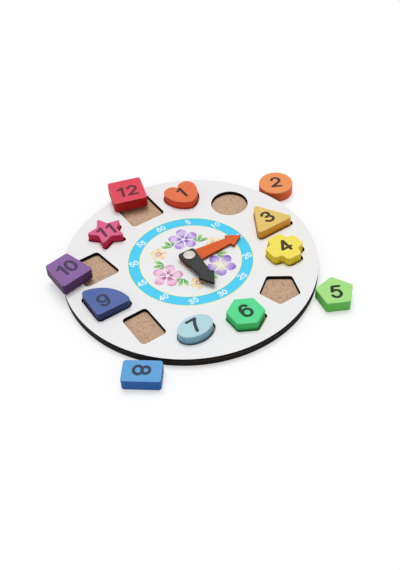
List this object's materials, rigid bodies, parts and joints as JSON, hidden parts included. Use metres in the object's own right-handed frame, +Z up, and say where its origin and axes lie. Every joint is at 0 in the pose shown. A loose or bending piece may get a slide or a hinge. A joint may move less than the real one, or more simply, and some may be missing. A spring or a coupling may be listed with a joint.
{
  "type": "wooden toy clock",
  "caption": "Round wooden toy clock for learning shapes and hours: painted blocks fit shaped recesses round the dial, and two arrow hands turn on a central rivet.",
  "frame": {"origin": "centre of the board's underside, on the surface that the clock lies on", "axes": "+Z up through the board along the rivet, +Y from the rivet towards twelve on the dial, +X towards three"},
  "size_m": [0.2526, 0.2419, 0.019],
  "materials": {
    "board_core": "bare fibreboard with a scorched edge",
    "scorched_edge": "fibreboard whose cut edges are scorched",
    "printed_film": "satin white print",
    "orange_paint": "satin paint, scorched edge",
    "black_paint": "satin paint, scorched edge",
    "washer_plastic": "plain",
    "washer_steel": "plain",
    "rivet_plastic": "polished",
    "paint_1": "satin paint",
    "paint_2": "satin paint",
    "paint_3": "satin paint",
    "paint_4": "satin paint",
    "paint_5": "satin paint",
    "paint_6": "satin paint",
    "paint_7": "satin paint",
    "paint_8": "satin paint",
    "paint_9": "satin paint",
    "paint_10": "satin paint",
    "paint_11": "satin paint",
    "paint_12": "satin paint"
  },
  "bodies": {
    "board": {"back_board": "board_core", "front_board": "scorched_edge", "printed_face": "printed_film", "pivot_rivet": "rivet_plastic", "face_washer": "washer_plastic", "hand_washer": "washer_plastic", "backing_washer": "washer_steel"},
    "minute_hand": {"minute_hand": "orange_paint"},
    "hour_hand": {"hour_hand": "black_paint"},
    "block_1_heart": {"block_1_heart": "paint_1"},
    "block_2_circle": {"block_2_circle": "paint_2"},
    "block_3_triangle": {"block_3_triangle": "paint_3"},
    "block_4_flower": {"block_4_flower": "paint_4"},
    "block_5_pentagon": {"block_5_pentagon": "paint_5"},
    "block_6_hexagon": {"block_6_hexagon": "paint_6"},
    "block_7_ellipse": {"block_7_ellipse": "paint_7"},
    "block_8_rectangle": {"block_8_rectangle": "paint_8"},
    "block_9_quarter": {"block_9_quarter": "paint_9"},
    "block_10_trapezoid": {"block_10_trapezoid": "paint_10"},
    "block_11_star": {"block_11_star": "paint_11"},
    "block_12_square": {"block_12_square": "paint_12"}
  },
  "joints": [
    {"name": "minute_hand_turn", "type": "hinge", "parent": "board", "child": "minute_hand", "pos_m": [0, 0, 0.00995], "axis": [0, 0, 1], "continuous": true},
    {"name": "hour_hand_turn", "type": "hinge", "parent": "board", "child": "hour_hand", "pos_m": [0, 0, 0.01305], "axis": [0, 0, 1], "continuous": true},
    {"name": "block_1_heart_lift", "type": "slide", "parent": "board", "child": "block_1_heart", "axis": [0, 0, 1], "range_m": [0, 0.03]},
    {"name": "block_2_circle_lift", "type": "slide", "parent": "board", "child": "block_2_circle", "axis": [0, 0, 1], "range_m": [0, 0.03]},
    {"name": "block_3_triangle_lift", "type": "slide", "parent": "board", "child": "block_3_triangle", "axis": [0, 0, 1], "range_m": [0, 0.03]},
    {"name": "block_4_flower_lift", "type": "slide", "parent": "board", "child": "block_4_flower", "axis": [0, 0, 1], "range_m": [0, 0.03]},
    {"name": "block_5_pentagon_lift", "type": "slide", "parent": "board", "child": "block_5_pentagon", "axis": [0, 0, 1], "range_m": [0, 0.03]},
    {"name": "block_6_hexagon_lift", "type": "slide", "parent": "board", "child": "block_6_hexagon", "axis": [0, 0, 1], "range_m": [0, 0.03]},
    {"name": "block_7_ellipse_lift", "type": "slide", "parent": "board", "child": "block_7_ellipse", "axis": [0, 0, 1], "range_m": [0, 0.03]},
    {"name": "block_8_rectangle_lift", "type": "slide", "parent": "board", "child": "block_8_rectangle", "axis": [0, 0, 1], "range_m": [0, 0.03]},
    {"name": "block_9_quarter_lift", "type": "slide", "parent": "board", "child": "block_9_quarter", "axis": [0, 0, 1], "range_m": [0, 0.03]},
    {"name": "block_10_trapezoid_lift", "type": "slide", "parent": "board", "child": "block_10_trapezoid", "axis": [0, 0, 1], "range_m": [0, 0.03]},
    {"name": "block_11_star_lift", "type": "slide", "parent": "board", "child": "block_11_star", "axis": [0, 0, 1], "range_m": [0, 0.03]},
    {"name": "block_12_square_lift", "type": "slide", "parent": "board", "child": "block_12_square", "axis": [0, 0, 1], "range_m": [0, 0.03]}
  ]
}
